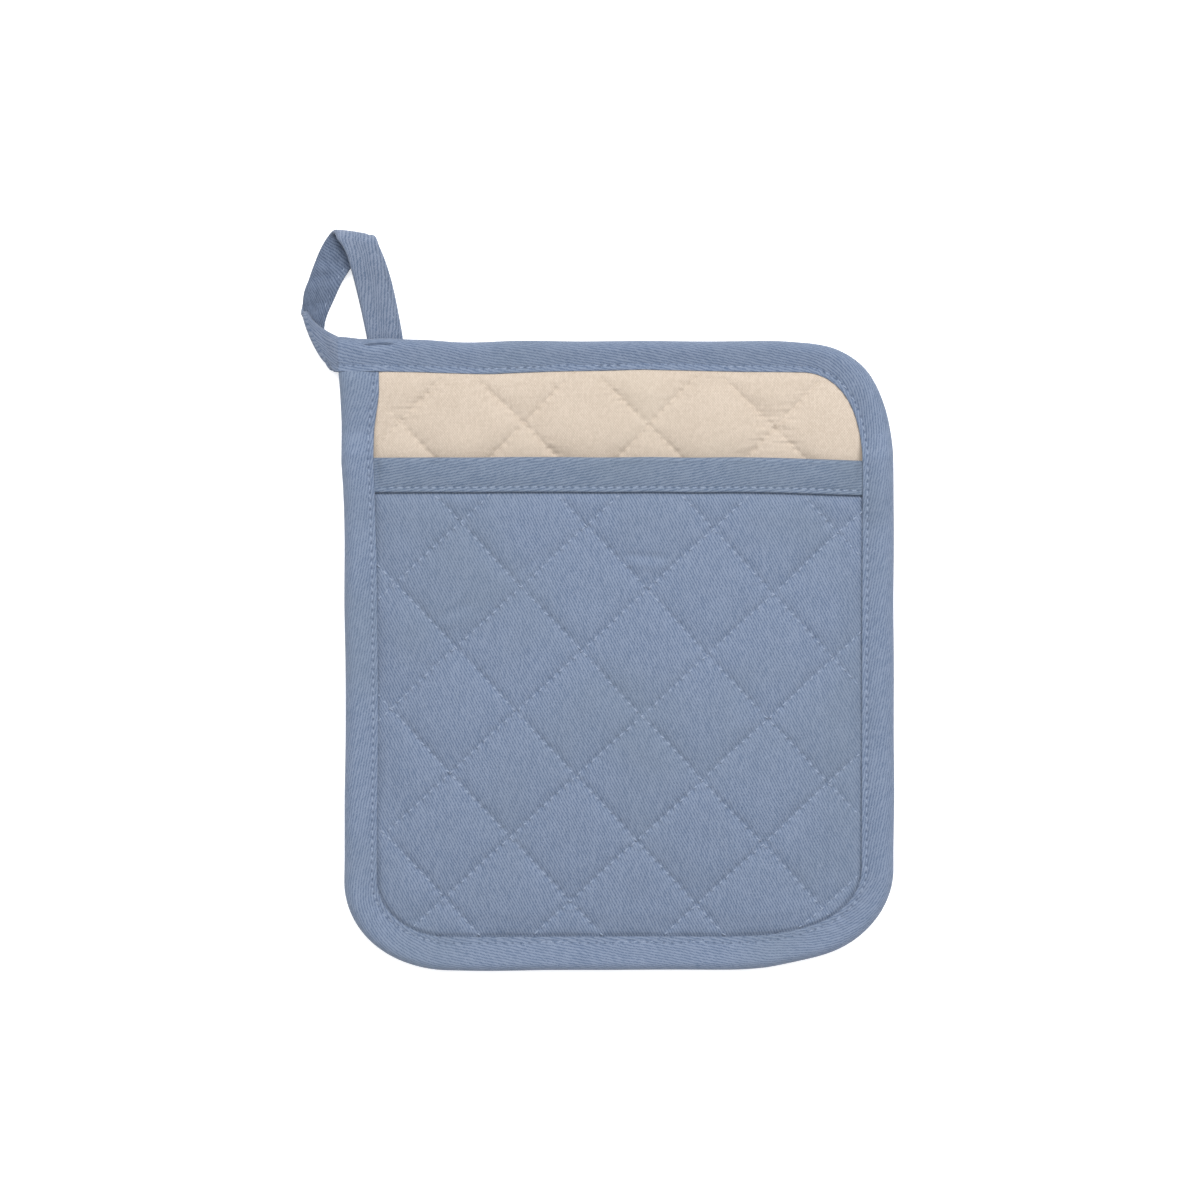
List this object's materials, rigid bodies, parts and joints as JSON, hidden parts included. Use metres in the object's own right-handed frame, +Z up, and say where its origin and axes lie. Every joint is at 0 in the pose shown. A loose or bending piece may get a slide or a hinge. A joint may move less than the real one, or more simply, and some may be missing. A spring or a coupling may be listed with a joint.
{
  "type": "pot holder",
  "caption": "Quilted cloth pot holder with a hand pocket, bound edges and a corner hanging loop, lying on its back.",
  "frame": {"origin": "on the flat back face, under the middle of the bound body, level with the surface it lies on", "axes": "+Y along the body's length, towards the edge with the hanging loop; +X across, with the loop on the -X side; +Z up out of the pocket face"},
  "size_m": [0.2152, 0.2689, 0.0143],
  "materials": {
    "blue_twill": "matte woven cotton twill",
    "blue_binding": "matte woven cotton twill, cut on the bias",
    "natural_cotton": "matte plain-woven cotton"
  },
  "bodies": {
    "root": {"back_panel": "natural_cotton", "pocket_panel": "blue_twill", "pocket_band": "blue_binding", "edge_binding": "blue_binding", "hanging_loop": "blue_binding"}
  },
  "joints": []
}
